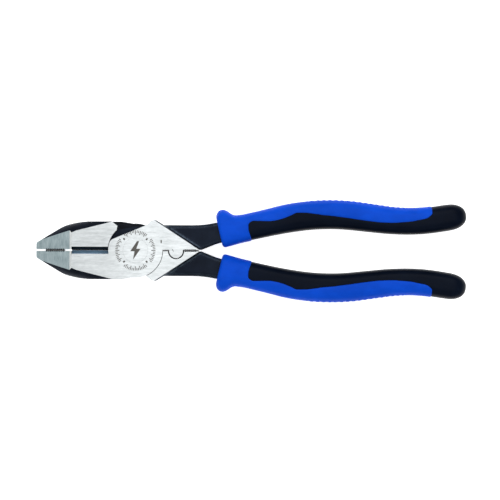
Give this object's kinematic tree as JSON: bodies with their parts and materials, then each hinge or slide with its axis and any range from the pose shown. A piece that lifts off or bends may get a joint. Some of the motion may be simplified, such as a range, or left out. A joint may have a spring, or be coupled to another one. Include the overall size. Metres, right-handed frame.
{
  "type": "lineman pliers",
  "caption": "High-leverage side cutting pliers with a serrated flat nose, long knives, a crimping die behind the lap joint and curved moulded grips.",
  "frame": {"origin": "on the rivet's axis, in the plane of the head's ground back face", "axes": "+X from the joint to the handles, +Y to the upper handle, +Z from the back face to the front face, along the rivet"},
  "size_m": [0.2427, 0.0574, 0.0186],
  "materials": {
    "forged_steel": "ground faces over black oxide forging skin",
    "rivet_steel": "ground flush",
    "grip_core": "fine matt moulded",
    "grip_sleeve": "satin soft moulding"
  },
  "bodies": {
    "rear_side": {"rear_half": "forged_steel", "pivot_rivet": "rivet_steel", "rear_grip_core": "grip_core", "rear_grip_sleeve": "grip_sleeve"},
    "front_side": {"front_half": "forged_steel", "front_grip_core": "grip_core", "front_grip_sleeve": "grip_sleeve"}
  },
  "joints": [
    {"name": "pivot", "type": "hinge", "parent": "rear_side", "child": "front_side", "pos_m": [0, 0, 0.00795], "axis": [0, 0, 1], "range_deg": [0, 30]}
  ]
}
